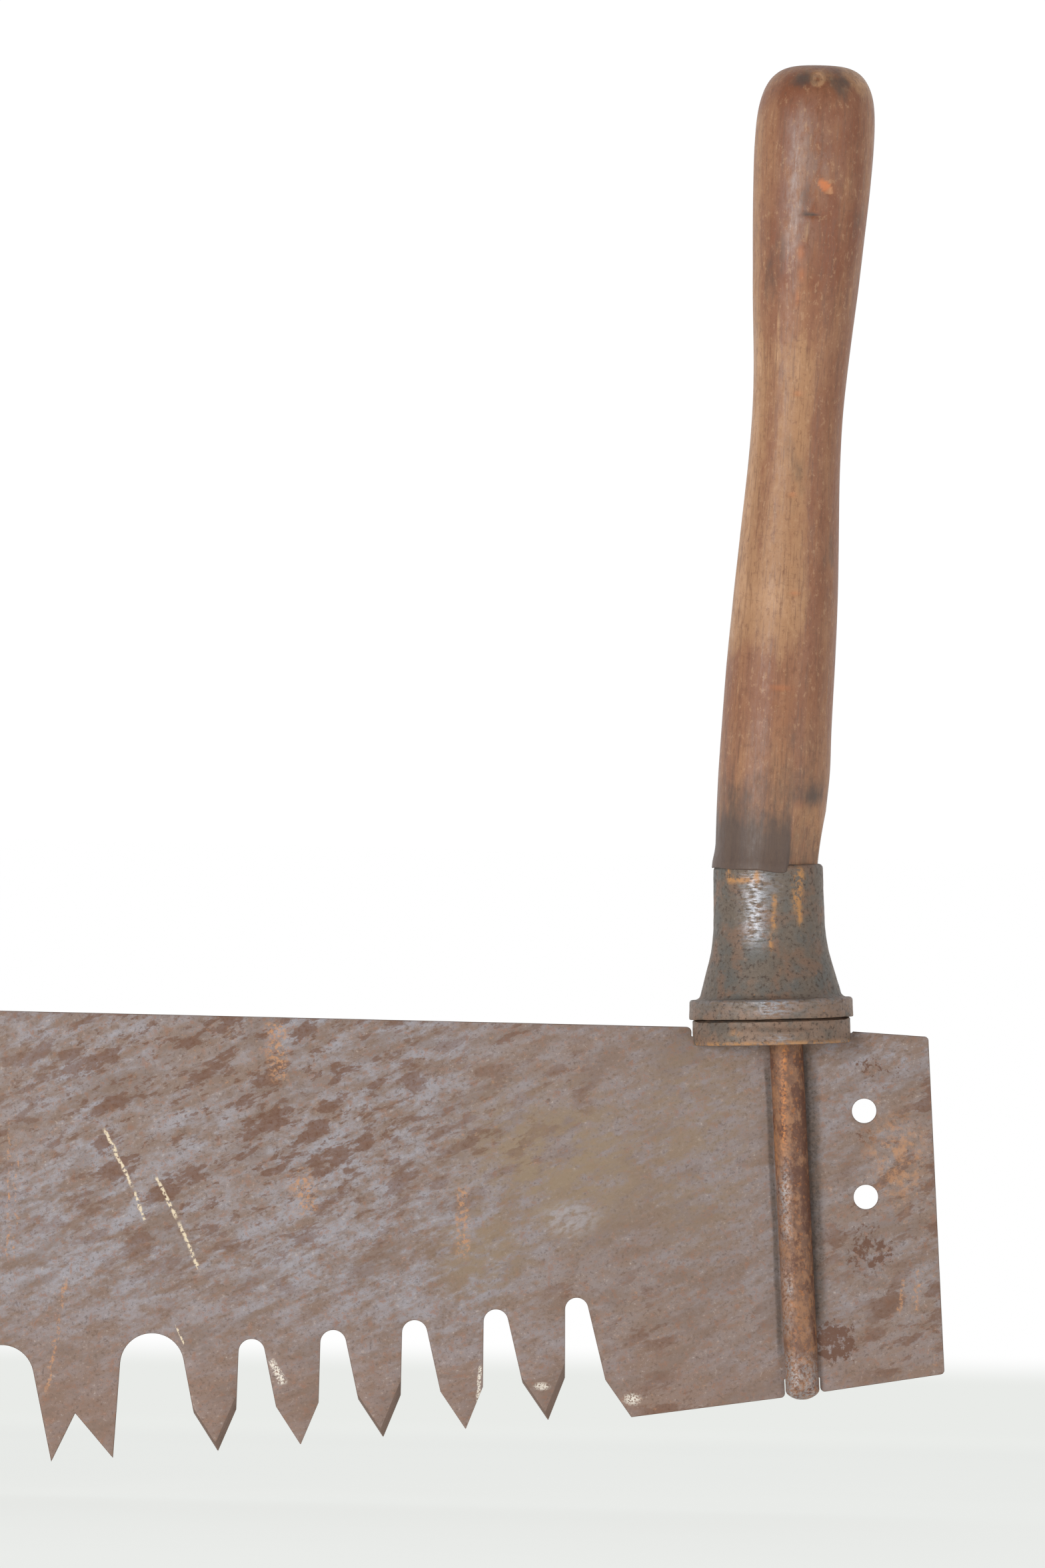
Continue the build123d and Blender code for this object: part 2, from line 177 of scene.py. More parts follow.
def outward(mesh):
    work = bmesh.new()
    work.from_mesh(mesh)
    bmesh.ops.recalc_face_normals(work, faces=work.faces)
    work.to_mesh(mesh)
    work.free()
    mesh.polygons.foreach_set("use_smooth", [True] * len(mesh.polygons))


def paint_all(mesh, places, seed, **shares):
    """Stores shares from 0 to 1 and each point's place in its part's frame, which grain and rust follow."""
    layer = mesh.attributes.new("place", "FLOAT_VECTOR", "POINT")
    apart = Vector((seed * 0.1, 0, 0))
    layer.data.foreach_set("vector", [c for place in places for c in place + apart])
    for name, values in shares.items():
        layer = mesh.attributes.new(name, "FLOAT", "POINT")
        layer.data.foreach_set("value", [min(1.0, value) for value in values])


VOXEL = 0.5                     # millimetres
SMOOTHINGS = 2


def remeshed(node):
    """A copy of a CAD node's mesh with even faces and softened edges."""
    work = bmesh.new()
    work.from_mesh(frame["nodes"][node].data)
    bmesh.ops.remove_doubles(work, verts=work.verts, dist=1e-6)
    source = bpy.data.meshes.new(node + "_source")
    work.to_mesh(source)
    work.free()
    carrier = bpy.data.objects.new(node + "_source", source)
    bpy.context.scene.collection.objects.link(carrier)
    voxels = carrier.modifiers.new("Remesh", "REMESH")
    voxels.mode = "VOXEL"
    voxels.voxel_size = VOXEL * MM
    softer = carrier.modifiers.new("Smooth", "SMOOTH")
    softer.iterations = SMOOTHINGS
    softer.factor = 0.5
    view = bpy.context.evaluated_depsgraph_get()
    mesh = bpy.data.meshes.new_from_object(carrier.evaluated_get(view))
    bpy.data.objects.remove(carrier)
    bpy.data.meshes.remove(source)
    outward(mesh)
    return mesh


def roughen(mesh, matrix, shift):
    """Moves each point along its normal by shift(x, y, z) millimetres, in the part's own frame."""
    inverse = matrix.inverted()
    places = [inverse @ v.co for v in mesh.vertices]
    normals = [v.normal.copy() for v in mesh.vertices]
    for v, place, normal in zip(mesh.vertices, places, normals):
        v.co += normal * shift(*(place / MM)) * MM
    mesh.update()
    return places


# -------- shader helpers
class Shader:
    """Writes one material's nodes."""

    def __init__(self, name):
        self.material = bpy.data.materials.new(name)
        self.material.use_nodes = True
        self.tree = self.material.node_tree
        self.surface = self.tree.nodes["Principled BSDF"]
        self.colour = None

    def link(self, value, socket):
        if isinstance(value, bpy.types.NodeSocket):
            self.tree.links.new(value, socket)
        elif value is not None:
            socket.default_value = value

    def node(self, kind, **settings):
        made = self.tree.nodes.new("ShaderNode" + kind)
        for key, value in settings.items():
            setattr(made, key, value)
        return made

    def object_place(self):
        return self.node("TexCoord").outputs["Object"]

    def attribute(self, name, output="Fac"):
        made = self.node("Attribute", attribute_name=name)
        return made.outputs[output]

    def mapped(self, place, scale=(1, 1, 1), turn=(0, 0, 0), move=(0, 0, 0)):
        made = self.node("Mapping")
        self.link(place, made.inputs["Vector"])
        made.inputs["Location"].default_value = move
        made.inputs["Rotation"].default_value = [radians(a) for a in turn]
        made.inputs["Scale"].default_value = scale
        return made.outputs["Vector"]

    def noise(self, place, size, detail=4.0, rough=0.55, warp=0.0):
        """Noise between 0 and 1 with lumps of the given size in millimetres."""
        made = self.node("TexNoise")
        self.link(place, made.inputs["Vector"])
        made.inputs["Scale"].default_value = 1 / (size * MM)
        made.inputs["Detail"].default_value = detail
        made.inputs["Roughness"].default_value = rough
        made.inputs["Distortion"].default_value = warp
        return made.outputs["Fac"]

    def step(self, value, low, high, start=0.0, stop=1.0):
        made = self.node("MapRange", interpolation_type="SMOOTHSTEP", clamp=True)
        self.link(value, made.inputs["Value"])
        for key, number in zip(("From Min", "From Max", "To Min", "To Max"), (low, high, start, stop)):
            made.inputs[key].default_value = number
        return made.outputs["Result"]

    def maths(self, operation, a, b=None):
        made = self.node("Math", operation=operation)
        self.link(a, made.inputs[0])
        self.link(b, made.inputs[1])
        return made.outputs[0]

    def plus(self, a, b):
        return self.maths("ADD", a, b)

    def minus(self, a, b):
        return self.maths("SUBTRACT", a, b)

    def times(self, *values):
        return reduce(lambda a, b: self.maths("MULTIPLY", a, b), values)

    def most(self, *values):
        return reduce(lambda a, b: self.maths("MAXIMUM", a, b), values)

    def vector(self, operation, place, other=None, output=0):
        made = self.node("VectorMath", operation=operation)
        self.link(place, made.inputs[0])
        self.link(other, made.inputs[1])
        return made.outputs[output]

    def axis(self, place, letter):
        split = self.node("SeparateXYZ")
        self.link(place, split.inputs[0])
        return split.outputs[letter]

    def blend(self, below, above, share):
        made = self.node("Mix", data_type="RGBA")
        self.link(share, made.inputs["Factor"])
        self.link(below, made.inputs[6])
        self.link(above, made.inputs[7])
        return made.outputs[2]

    def blob(self, place, centre, reach):
        """1 at a centre, falling to 0 at the given reach on each axis, in millimetres."""
        off = self.vector("SUBTRACT", place, [c * MM for c in centre])
        scaled = self.vector("MULTIPLY", off, [1 / (r * MM) for r in reach])
        return self.step(self.vector("LENGTH", scaled, output="Value"), 1.0, 0.25)

    def wavering(self, place, size, amount):
        """The place shifted by noise of the given size and amount in millimetres, so that lines waver."""
        lumps = self.node("TexNoise")
        self.link(place, lumps.inputs["Vector"])
        lumps.inputs["Scale"].default_value = 1 / (size * MM)
        centred = self.vector("SUBTRACT", lumps.outputs["Color"], (0.5, 0.5, 0.5))
        return self.vector("ADD", self.vector("MULTIPLY", centred, [amount * MM] * 3), place)

    def stroke(self, place, start, stop, width):
        """1 along a line between two points (x, z) on the blade, in millimetres."""
        (x0, z0), (x1, z1) = start, stop
        length = hypot(x1 - x0, z1 - z0)
        along = Vector(((x1 - x0) / length, 0, (z1 - z0) / length))
        middle = Vector(((x0 + x1) / 2, 0, (z0 + z1) / 2)) * MM
        off = self.vector("SUBTRACT", place, middle)
        shares = []
        for direction, reach, edge in ((along, length / 2, 0.75), ((-along.z, 0, along.x), width / 2, 0.3)):
            size = self.maths("ABSOLUTE", self.vector("DOT_PRODUCT", off, direction, "Value"))
            shares.append(self.step(size, reach * MM, reach * edge * MM))
        return self.times(*shares)

    def coat(self, colour, share):
        """Lays a colour, given like tone's, over the colour so far."""
        self.colour = self.blend(self.colour, tone(*colour), share)

    def finish(self, rough, metallic=0.0, height=None, bump=0.3, depth=0.4):
        self.link(self.colour, self.surface.inputs["Base Color"])
        self.link(rough, self.surface.inputs["Roughness"])
        self.link(metallic, self.surface.inputs["Metallic"])
        if height is not None:
            made = self.node("Bump")
            made.inputs["Strength"].default_value = bump
            made.inputs["Distance"].default_value = depth * MM
            self.link(height, made.inputs["Height"])
            self.link(made.outputs["Normal"], self.surface.inputs["Normal"])
        return self.material


def tone(red, green, blue):
    """A colour given as it looks on a screen, 0 to 255, as the linear value that a shader takes."""
    channels = [c / 255 for c in (red, green, blue)]
    return [c / 12.92 if c <= 0.04045 else ((c + 0.055) / 1.055) ** 2.4 for c in channels] + [1.0]


# -------- materials
# Separate scratches on the blade, none joined: ends as (x from the right loop, z from the back), width, in mm
PALE_SCRATCHES = [
    ((-255, -42), (-243, -66), 1.8),
    ((-243, -66), (-238, -78), 1.5),
    ((-235, -60), (-226, -77), 1.8),
    ((-226, -77), (-217, -96), 2.0),
    ((-226, -116), (-222, -124), 1.0),
]
RUST_SCRATCHES = [
    ((-290, -37), (-289, -96), 1.6),
    ((-287, -52), (-287, -95), 1.1),
    ((-267, -98), (-274, -146), 2.2),
    ((-119, -60), (-119, -90), 6.0),
    ((-191, -1), (-189, -26), 11.0),
    ((-182, -56), (-176, -74), 12.0),
    ((53, -88), (51, -106), 4.0),
    ((46, -92), (45, -106), 2.4),
]


def from_loop(x, z):
    """A place on the blade, given from where the right loop crosses the back."""
    return ROD_X + x, BACK + z


def plate_material():
    """Old saw steel: brown and mauve-grey patina, darker pits, orange rust and scratches, with a painted
    shadow beside the right loop and painted shade on the filed bevels.
    """
    s = Shader("rusted_plate")
    place = s.object_place()

    def spot(x, z, wide, tall):
        """1 at a place given from the right loop, through the whole plate."""
        across, up = from_loop(x, z)
        return s.blob(place, (across, 0, up), (wide, 90, tall))

    def stroke_from_loop(wavy, start, stop, width):
        return s.stroke(wavy, from_loop(*start), from_loop(*stop), width)

    apart = s.mapped(place, scale=(1, 40, 1))
    rolled = s.mapped(apart, turn=(0, 24, 0))
    streaky = s.mapped(rolled, scale=(0.36, 1, 1))
    longer = s.mapped(rolled, scale=(0.40, 1, 1), move=(0.4, 0, 0.2))
    grain = s.noise(apart, 1.3, detail=7, rough=0.7)
    fine = s.noise(apart, 0.7, detail=3, rough=0.6)
    patches = s.noise(streaky, 6.0, detail=6, rough=0.62, warp=0.3)
    broad = s.noise(apart, 75, detail=3)

    fleck = s.noise(s.mapped(rolled, scale=(0.5, 1, 1)), 2.2, detail=5, rough=0.65)
    mottle = s.plus(s.times(patches, 0.6), s.times(fleck, 0.4))
    calm = spot(-40, -60, 110, 130)
    low = s.step(s.axis(place, "Z"), 0.085, 0.03)
    browned = s.most(s.times(calm, 0.5), s.times(low, 0.6))
    bluish = s.times(s.step(mottle, 0.40, 0.60), s.minus(1.0, browned))
    s.colour = s.blend(tone(131, 109, 96), tone(154, 149, 153), bluish)
    s.coat((138, 116, 102), s.step(broad, 0.42, 0.66, 0.0, 0.6))
    s.coat((140, 108, 90), s.times(low, 0.35))
    s.coat((94, 74, 62), s.times(s.step(grain, 0.47, 0.35), 0.5))
    s.coat((200, 188, 180), s.times(s.step(grain, 0.57, 0.68), 0.55))
    clouds = s.noise(s.mapped(streaky, move=(0.1, 0, 0.6)), 9, detail=6, rough=0.66)
    s.coat((122, 101, 88), s.times(s.step(clouds, 0.50, 0.62), 0.5))
    redder = s.step(s.noise(apart, 2.6, detail=6, rough=0.7), 0.52, 0.66)
    s.coat((140, 98, 74), s.times(redder, 0.6))

    ochre = s.most(
        spot(-83, -52, 52, 40),
        s.times(spot(-112, -86, 30, 26), 0.8),
        s.times(spot(-34, -40, 34, 60), 0.6),
    )
    s.coat((144, 124, 99), s.times(ochre, s.step(mottle, 0.60, 0.42), 0.75))
    pale = spot(-79, -73, 15, 9)
    s.coat((168, 161, 160), s.times(pale, s.step(fleck, 0.35, 0.6), 0.7))

    pits = s.noise(longer, 6.5, detail=5, rough=0.6, warp=0.15)
    pitted = s.most(spot(-205, -32, 150, 105), s.step(broad, 0.50, 0.60, 0.12, 0.8))
    smaller = s.noise(s.mapped(longer, move=(0.7, 0, 0.9)), 2.6, detail=5, rough=0.62)
    lumpy = s.plus(s.times(pits, 0.85), s.times(grain, 0.15))
    dark = s.most(s.step(lumpy, 0.525, 0.575), s.times(s.step(smaller, 0.575, 0.63), 0.85))
    dark = s.times(dark, pitted)
    s.coat((104, 68, 47), s.times(dark, s.step(grain, 0.3, 0.55, 1.0, 0.75)))

    stains = s.most(
        spot(21, -117, 15, 15),
        s.times(spot(33, -82, 16, 15), 0.85),
        s.times(spot(33, -15, 18, 12), 0.65),
        s.times(spot(31, -40, 11, 6), 0.6),
    )
    spots = s.noise(apart, 3.2, detail=7, rough=0.7)
    stain = s.step(s.plus(s.times(stains, 0.26), spots), 0.68, 0.76)
    s.coat((102, 68, 50), s.times(stain, 0.95))

    rust = s.times(s.step(s.noise(apart, 3.0, detail=6, rough=0.7), 0.60, 0.72), s.step(broad, 0.40, 0.62))
    warm = spot(43, -48, 17, 26)
    rust = s.most(s.times(rust, 0.55), s.times(warm, s.step(spots, 0.45, 0.65), 0.7))
    unsteady = s.wavering(place, 7, 5)
    breaks = s.step(s.noise(apart, 1.6, detail=5, rough=0.7), 0.46, 0.60)
    lines = [stroke_from_loop(unsteady, *ends_and_width) for ends_and_width in RUST_SCRATCHES]
    front = s.step(s.axis(place, "Y"), 0.0003, -0.0003)
    rust = s.most(rust, s.times(s.most(*lines), breaks, front, 0.8))
    s.coat((188, 138, 98), rust)

    shaky = s.wavering(place, 4, 2)
    dots = s.noise(apart, 1.1, detail=2, rough=0.5)
    chalk = s.times(
        s.most(*[stroke_from_loop(shaky, *ends_and_width) for ends_and_width in PALE_SCRATCHES]),
        s.step(dots, 0.40, 0.52),
        front,
    )
    s.coat((226, 208, 178), s.times(chalk, 0.95))
    chips = s.most(
        stroke_from_loop(shaky, (-190, -128), (-184.5, -138), 3.6),
        stroke_from_loop(shaky, (-111.2, -128), (-112, -144), 1.8),
        spot(-54, -140, 4.5, 3),
        spot(-88, -136, 4, 2),
    )
    s.coat((224, 214, 200), s.times(chips, front, s.step(fine, 0.43, 0.52)))

    # Painted shadow of the loop rod on the blade: a dark band down the rod's right side and a thin dark line
    # down its left side, laid on as colour (64, 52, 43).
    shadow_wobble = s.wavering(place, 16, 1.5)
    rod_shadow = s.times(stroke_from_loop(shadow_wobble, (7.5, -4), (14.5, -118), 12.0), 0.95)
    for reach, share in ((-90, 1.0), (-40, 0.8)):
        shadow_line = stroke_from_loop(shadow_wobble, (8.0, -4), (8.3 - ROD_SLOPE * reach, reach), 7.0)
        rod_shadow = s.most(rod_shadow, s.times(shadow_line, share))
    # left is the thin painted shadow line down the rod's left side.
    left = stroke_from_loop(shadow_wobble, (-7.0, -6), (1.9, -130), 3.0)
    rod_shadow = s.most(rod_shadow, s.times(left, 0.8))
    s.coat((64, 52, 43), s.times(rod_shadow, s.step(grain, 0.3, 0.6, 0.9, 0.65)))
    # Painted shade on every face that turns away from the plate's sides, the filed tooth bevels and the
    # rounded edges, as a darker colour.
    facing = s.axis(s.node("NewGeometry").outputs["True Normal"], "Y")
    bevel_shade = s.step(s.maths("ABSOLUTE", facing), 0.985, 0.96)
    s.coat((92, 70, 56), s.times(bevel_shade, s.step(fleck, 0.3, 0.6, 0.85, 0.4)))
    rough = s.step(s.plus(grain, s.times(patches, 0.4)), 0.35, 0.95, 0.78, 0.5)
    metallic = s.times(s.step(mottle, 0.42, 0.66), s.minus(1.0, s.most(rust, dark, stain)), 0.35)
    height = s.minus(s.plus(grain, s.times(fine, 0.5)), s.times(s.most(dark, stain), 0.6))
    return s.finish(rough, metallic, height, bump=0.35, depth=0.25)


def iron_material():
    """Malleable iron casting under a skin of dark rust, worn to bare steel on its high places, with painted
    highlights on the ferrule's front, the flange and the saddle's lip.
    """
    s = Shader("rusted_iron")
    place = s.attribute("place", "Vector")
    rust = s.attribute("rust")
    rubbed = s.attribute("rubbed")
    patches = s.noise(place, 9, detail=6, rough=0.6, warp=0.4)
    cool = s.noise(s.mapped(place, move=(0.3, 0, 0)), 13, detail=5, rough=0.6)
    grain = s.noise(place, 1.5, detail=6, rough=0.7)
    fine = s.noise(place, 0.6, detail=2)
    base = s.step(s.axis(place, "Z"), 0.0085, 0.0065)
    s.colour = s.blend(tone(112, 99, 87), tone(102, 98, 92), s.step(cool, 0.42, 0.62))
    s.coat((130, 101, 82), s.step(patches, 0.46, 0.64, 0.0, 0.8))
    s.coat((138, 112, 94), s.times(base, s.step(patches, 0.40, 0.56, 0.15, 0.7)))
    s.coat((76, 61, 52), s.times(s.step(grain, 0.48, 0.36), 0.85))
    s.coat((150, 138, 128), s.times(s.step(grain, 0.60, 0.70), 0.5))
    dashes = s.noise(s.mapped(place, scale=(0.5, 0.5, 1.6)), 1.4, detail=6)
    # Painted highlights and bare steel: the pale colour follows the painted highlights on the ferrule's front,
    # the flange and the saddle's lip, and the worn edges.
    bright = s.times(rubbed, s.step(dashes, 0.38, 0.60))
    s.coat((164, 166, 172), s.times(bright, 0.8))
    orange = s.times(rust, s.step(s.noise(place, 2.4, detail=6, rough=0.7), 0.40, 0.56))
    specks = s.times(s.step(s.noise(place, 2.0, detail=5, rough=0.7), 0.63, 0.72), 0.5)
    s.coat((188, 134, 78), s.most(s.times(orange, 0.9), specks))
    rough = s.minus(s.step(grain, 0.3, 0.7, 0.66, 0.50), s.times(bright, 0.16))
    metallic = s.times(s.plus(s.times(bright, 0.6), 0.22), s.minus(1.0, orange))
    height = s.plus(grain, s.times(fine, 0.35))
    return s.finish(rough, metallic, height, bump=0.5, depth=0.4)


def rod_material():
    """Forged loop: orange-brown rust, dark scale, a few patches worn to bare steel, a painted highlight down
    the middle of the legs and painted shade down their right sides.
    """
    s = Shader("rusted_rod")
    place = s.attribute("place", "Vector")
    rubbed = s.attribute("rubbed")
    drawn = s.mapped(place, scale=(1, 1, 0.7))
    patches = s.noise(drawn, 3.2, detail=8, rough=0.72, warp=0.2)
    scale = s.noise(s.mapped(drawn, move=(0.2, 0.1, 0)), 5.0, detail=8, rough=0.7)
    grain = s.noise(place, 1.2, detail=6, rough=0.7)
    streak = s.times(s.attribute("streak"), s.step(grain, 0.42, 0.58))
    # Painted shade: this share raises the dark scale down the rod's right side, and along its left edge higher
    # up.
    maroon = s.attribute("maroon")
    scaled = s.step(s.plus(scale, s.times(maroon, 0.1)), 0.52, 0.62, 0.0, 0.85)
    s.colour = s.blend(tone(121, 88, 70), tone(154, 112, 82), s.step(patches, 0.42, 0.60))
    s.coat((96, 62, 48), scaled)
    flecks = s.step(s.noise(s.mapped(place, move=(0.4, 0, 0.3)), 1.6, detail=5, rough=0.65), 0.56, 0.64)
    s.coat((176, 112, 62), s.times(flecks, 0.5))
    s.coat((200, 128, 66), s.times(streak, 0.85))
    # Painted highlight down the middle of the legs, with patches worn to bare steel, in a pale grey.
    bright = s.times(rubbed, s.step(grain, 0.40, 0.60))
    s.coat((178, 176, 176), s.times(bright, 0.75))
    s.coat((78, 58, 48), s.times(s.step(grain, 0.42, 0.30), 0.6))
    rough = s.step(grain, 0.3, 0.7, 0.66, 0.46)
    metallic = s.plus(s.times(bright, 0.55), 0.15)
    return s.finish(rough, metallic, grain, bump=0.5, depth=0.35)


WOOD_PAINTS = ("grime", "worn", "raw", "red", "smoke")


def wood_material():
    """Hand-worn hardwood: reddish brown, tan where it is rubbed, grey with dirt near the iron."""
    s = Shader("worn_wood")
    place = s.attribute("place", "Vector")
    grime, worn, raw, red, smoke = [s.attribute(name) for name in WOOD_PAINTS]
    along = s.mapped(place, scale=(1, 1, 0.045))
    fibres = s.noise(along, 0.9, detail=5, rough=0.65)
    bands = s.noise(s.mapped(place, scale=(1, 1, 0.12)), 6.0, detail=4, rough=0.55, warp=0.6)
    cloud = s.noise(s.mapped(place, scale=(1, 1, 0.45)), 14, detail=5, rough=0.6)
    marks = s.noise(s.mapped(place, scale=(1, 1, 0.5)), 1.6, detail=6, rough=0.7)
    crisp = s.noise(s.mapped(place, scale=(1, 1, 0.35)), 3.4, detail=7, rough=0.68)
    speck = s.noise(s.mapped(place, scale=(1, 1, 0.7)), 0.9, detail=4, rough=0.65)
    rows = s.noise(s.mapped(place, scale=(0.25, 0.25, 1)), 1.1, detail=3, rough=0.6)

    def patchy(share, soft=0.09):
        """Breaks a soft share into patches with crisp edges."""
        level = s.plus(s.times(crisp, 0.9), s.minus(share, 0.45))
        return s.times(s.step(level, 0.5 - soft, 0.5 + soft), s.step(share, 0.02, 0.2))

    s.colour = s.blend(tone(145, 100, 74), tone(163, 116, 82), s.step(bands, 0.36, 0.66))
    s.coat((131, 78, 51), s.times(red, s.step(cloud, 0.30, 0.62)))
    s.coat((173, 129, 92), s.times(patchy(worn, 0.2), 0.85))
    s.coat((192, 148, 112), s.times(s.step(worn, 0.8, 1.0), s.step(crisp, 0.40, 0.56), 0.8))
    s.coat((112, 74, 52), s.times(s.step(fibres, 0.50, 0.36), 0.5))
    s.coat((118, 82, 60), s.times(s.step(marks, 0.58, 0.72), s.step(cloud, 0.4, 0.6), 0.5))
    film = s.times(smoke, s.step(crisp, 0.30, 0.60))
    s.coat((142, 122, 114), s.times(film, 0.62))
    s.coat((186, 150, 116), s.times(s.step(speck, 0.62, 0.72), 0.45))
    s.coat((110, 76, 56), s.times(s.step(rows, 0.42, 0.30), 0.22))
    spots = s.noise(s.mapped(place, scale=(1, 1, 0.6), move=(0.2, 0, 0.1)), 1.7, detail=6, rough=0.68)
    s.coat((112, 70, 48), s.times(s.step(spots, 0.54, 0.66), 0.45))
    s.coat((188, 148, 112), s.times(s.step(spots, 0.45, 0.34), 0.4))
    s.coat((75, 65, 60), s.times(patchy(grime, 0.34), 0.85))
    s.coat((196, 118, 72), raw)
    rough = s.step(s.plus(s.times(marks, 0.5), s.times(fibres, 0.5)), 0.35, 0.65, 0.42, 0.62)
    rough = s.minus(rough, s.times(film, 0.10))
    height = s.plus(s.times(fibres, 0.8), s.times(marks, 0.6))
    return s.finish(rough, 0.0, height, bump=0.3, depth=0.3)


def plain_steel_material():
    """Dull steel of the nut and the pins, with brown rust in its hollows."""
    s = Shader("dull_steel")
    place = s.object_place()
    patches = s.noise(place, 3.5, detail=6, rough=0.65)
    grain = s.noise(place, 0.8, detail=5, rough=0.7)
    s.colour = s.blend(tone(112, 104, 98), tone(132, 96, 72), s.step(patches, 0.42, 0.62))
    s.coat((80, 66, 58), s.step(grain, 0.45, 0.30, 0.0, 0.6))
    return s.finish(s.step(grain, 0.3, 0.7, 0.62, 0.42), 0.4, grain, bump=0.4, depth=0.2)


PLATE = plate_material()
IRON = iron_material()
ROD = rod_material()
WOOD = wood_material()
STEEL = plain_steel_material()


# -------- blade
def cutters():
    """(place along the tooth arc, way it is set) of each cutter, in millimetres."""
    places, way = [], -1
    along = [CUTTER_PITCH * 0.5, CUTTER_PITCH * 1.5]
    for group in range(2):
        first = along[-1] + 2 * RAKER_GAP
        along += [first + CUTTER_PITCH * i for i in range(END_CUTTERS if group else END_CUTTERS - 1)]
    for place in along:
        places += [(place, way), (-place, -way)]
        way = -way
    return places


def cut_grid(work, spacing):
    """Cuts every face along planes of x and of z, so that the plate can bend smoothly."""
    for axis in (0, 2):
        normal = Vector((1, 0, 0)) if axis == 0 else Vector((0, 0, 1))
        low = min(v.co[axis] for v in work.verts)
        high = max(v.co[axis] for v in work.verts)
        for step in range(1, int((high - low) / (spacing * MM)) + 1):
            geometry = work.verts[:] + work.edges[:] + work.faces[:]
            point = normal * (low + step * spacing * MM)
            bmesh.ops.bisect_plane(work, geom=geometry, dist=1e-7, plane_co=point, plane_no=normal)


def make_blade():
    """The CAD plate with rubbed edges, cutters set to either side and a slight waviness."""
    work = bmesh.new()
    work.from_mesh(frame["nodes"]["blade"].data)
    bmesh.ops.remove_doubles(work, verts=work.verts, dist=1e-6)
    bmesh.ops.dissolve_limit(work, angle_limit=radians(0.4), verts=work.verts, edges=work.edges)
    sharp = [e for e in work.edges if len(e.link_faces) == 2 and e.calc_face_angle() > radians(60)]
    bmesh.ops.bevel(work, geom=sharp, offset=EDGE_WEAR * MM, offset_type="OFFSET", segments=2,
                    profile=0.5, affect="EDGES", clamp_overlap=True)
    cut_grid(work, GRID)
    teeth = cutters()
    for v in work.verts:
        x, z = v.co.x / MM, v.co.z / MM
        depth = TOOTH_ARC_RADIUS - hypot(x, TOOTH_ARC_RADIUS - z)
        along = TOOTH_ARC_RADIUS * atan2(x, TOOTH_ARC_RADIUS - z)
        bend = 0.0
        for place, way in teeth:
            if abs(along - place) < CUTTER_PITCH / 2:
                bend = way * TOOTH_SET * smooth(SET_REACH, 0, depth)
        bend += 0.18 * ripple(x, 0, z, 90, 2) + 0.05 * ripple(x, 0, z, 22, 2, 4.1)
        v.co.y += bend * MM
    bmesh.ops.triangulate(work, faces=[f for f in work.faces if len(f.verts) > 4])
    mesh = bpy.data.meshes.new("blade_plate")
    work.to_mesh(mesh)
    work.free()
    mesh.polygons.foreach_set("use_smooth", [True] * len(mesh.polygons))
    mesh.set_sharp_from_angle(angle=radians(35))
    return new_piece("blade_plate", mesh, "blade", "blade", PLATE)


# -------- ferrule
RING = 168                      # points round the grip and the ferrule
FERRULE_PROFILE = [             # (radius, height, rounding) of the turned outline, in millimetres
    (13.0, 0.0, 0.6), (30.8, 0.0, 0.5), (30.6, 7.4, 1.1), (26.8, 7.4, 2.4), (20.95, 29.0, 60.0),
    (20.5, 57.5, 1.8), (17.5, 57.5, 0.6), (17.5, 20.0, 0.8), (6.9, 20.0, 0.6), (6.9, 14.0, 0.6),
    (13.0, 14.0, 1.0),
]


def rounded_outline(corners, spacing):
    """Points along a closed outline whose corners are rounded, about one spacing apart."""
    points = []
    count = len(corners)
    for i, (r, z, radius) in enumerate(corners):
        here = Vector((r, z))
        before = (Vector(corners[i - 1][:2]) - here).normalized()
        after = (Vector(corners[(i + 1) % count][:2]) - here).normalized()
        half = before.angle(after) / 2
        reach = radius / tan(half)
        centre = here + (before + after).normalized() * radius / sin(half)
        start, stop = here + before * reach, here + after * reach
        begin, end = start - centre, stop - centre
        sweep = end.angle(begin)
        steps = max(3, int(sweep * radius / spacing * 1.5))
        points.append([
            centre + (begin * sin(sweep * (1 - k / steps)) + end * sin(sweep * k / steps)) / sin(sweep)
            for k in range(steps + 1)
        ])
    outline = []
    for i, arc in enumerate(points):
        outline += arc
        start, stop = arc[-1], points[(i + 1) % count][0]
        steps = max(1, round((stop - start).length / spacing))
        outline += [start.lerp(stop, k / steps) for k in range(1, steps)]
    return outline


def turned(matrix, outline):
    """Rings of points round the part's z axis, one for each point (radius, height) of the outline."""
    rings = []
    for r, z in outline:
        angles = [2 * pi * k / RING for k in range(RING)]
        rings.append([matrix @ (Vector((r * cos(a), r * sin(a), z)) * MM) for a in angles])
    return rings


def front_angle(x, y):
    """Degrees round from the front, towards the outer side of the handle."""
    return degrees(atan2(x, -y))


# Rust on the ferrule: degrees from the front, height, half spread of each
FERRULE_RUST = {
    "right": [(-48, 55, 3, 2), (-44, 52.5, 4, 1.5), (-30, 52, 12, 0.9), (-13, 53, 2.5, 2.5), (35, 54, 5, 2),
              (32, 50, 6, 4), (30, 44, 5, 4), (33, 38, 3, 3), (5, 44, 2.5, 2), (4, 37, 2.5, 4), (0, 28, 2, 3)],
    "left": [(-30, 50, 12, 4), (20, 44, 5, 8), (55, 30, 10, 8), (140, 40, 14, 8), (-120, 24, 16, 7)],
}


